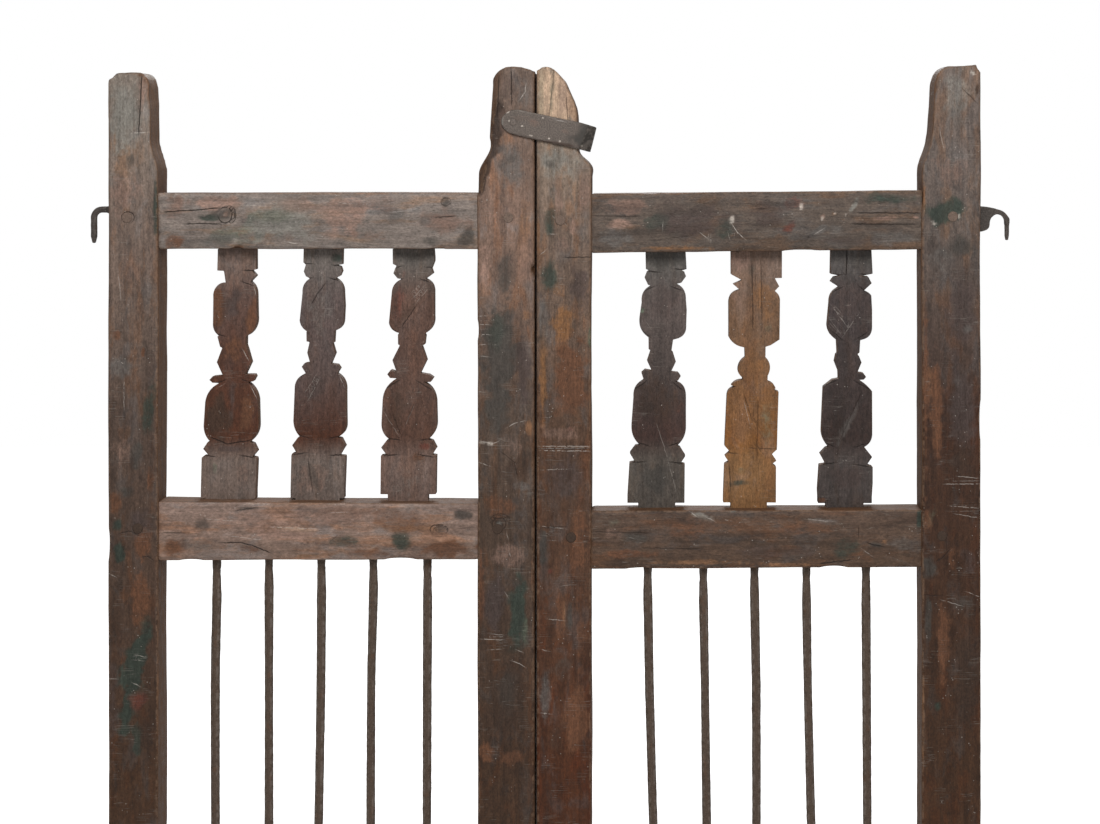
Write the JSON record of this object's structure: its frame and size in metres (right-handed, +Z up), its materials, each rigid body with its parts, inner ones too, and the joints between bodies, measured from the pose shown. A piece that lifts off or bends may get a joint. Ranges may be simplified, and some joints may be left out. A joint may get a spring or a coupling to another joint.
{
  "type": "double garden gate",
  "caption": "Double garden gate of aged dark wood with flat sawn balusters above, round iron bars below, forged hanging hooks and an iron strap latch.",
  "frame": {"origin": "on the axis of the upper left hook's pin, 4 mm below the top of its straight part", "axes": "+X right along the closed leaves, +Y to the rear, the side that the hooks are on, +Z up"},
  "size_m": [1.6468, 0.0888, 1.83],
  "materials": {
    "frame_wood": "worn, weathered dark hardwood",
    "baluster_wood": "worn, weathered dark hardwood",
    "peg_wood": "worn end grain",
    "iron": "hand forged, lightly rusted"
  },
  "bodies": {
    "left_leaf": {"left_outer_stile": "frame_wood", "left_meeting_stile": "frame_wood", "left_top_rail": "frame_wood", "left_middle_rail": "frame_wood", "left_bottom_rail": "frame_wood", "left_baluster_1": "baluster_wood", "left_baluster_2": "baluster_wood", "left_baluster_3": "baluster_wood", "left_bar_1": "iron", "left_bar_2": "iron", "left_bar_3": "iron", "left_bar_4": "iron", "left_bar_5": "iron", "left_joint_pegs": "peg_wood", "left_upper_hook": "iron", "left_lower_hook": "iron", "left_hook_nails": "iron", "latch_pivot": "iron"},
    "right_leaf": {"right_outer_stile": "frame_wood", "right_meeting_stile": "frame_wood", "right_top_rail": "frame_wood", "right_middle_rail": "frame_wood", "right_bottom_rail": "frame_wood", "right_baluster_1": "baluster_wood", "right_baluster_2": "baluster_wood", "right_baluster_3": "baluster_wood", "right_bar_1": "iron", "right_bar_2": "iron", "right_bar_3": "iron", "right_bar_4": "iron", "right_bar_5": "iron", "right_joint_pegs": "peg_wood", "right_upper_hook": "iron", "right_lower_hook": "iron", "right_hook_nails": "iron"},
    "latch": {"latch_strap": "iron"}
  },
  "joints": [
    {"name": "right_leaf_swing", "type": "hinge", "parent": "left_leaf", "child": "right_leaf", "pos_m": [1.6355, 0, 0], "axis": [0, 0, -1], "range_deg": [0, 100]},
    {"name": "latch_turn", "type": "hinge", "parent": "left_leaf", "child": "latch", "pos_m": [0.756, -0.079, 0.172], "axis": [0, -1, 0], "range_deg": [0, 239]}
  ]
}
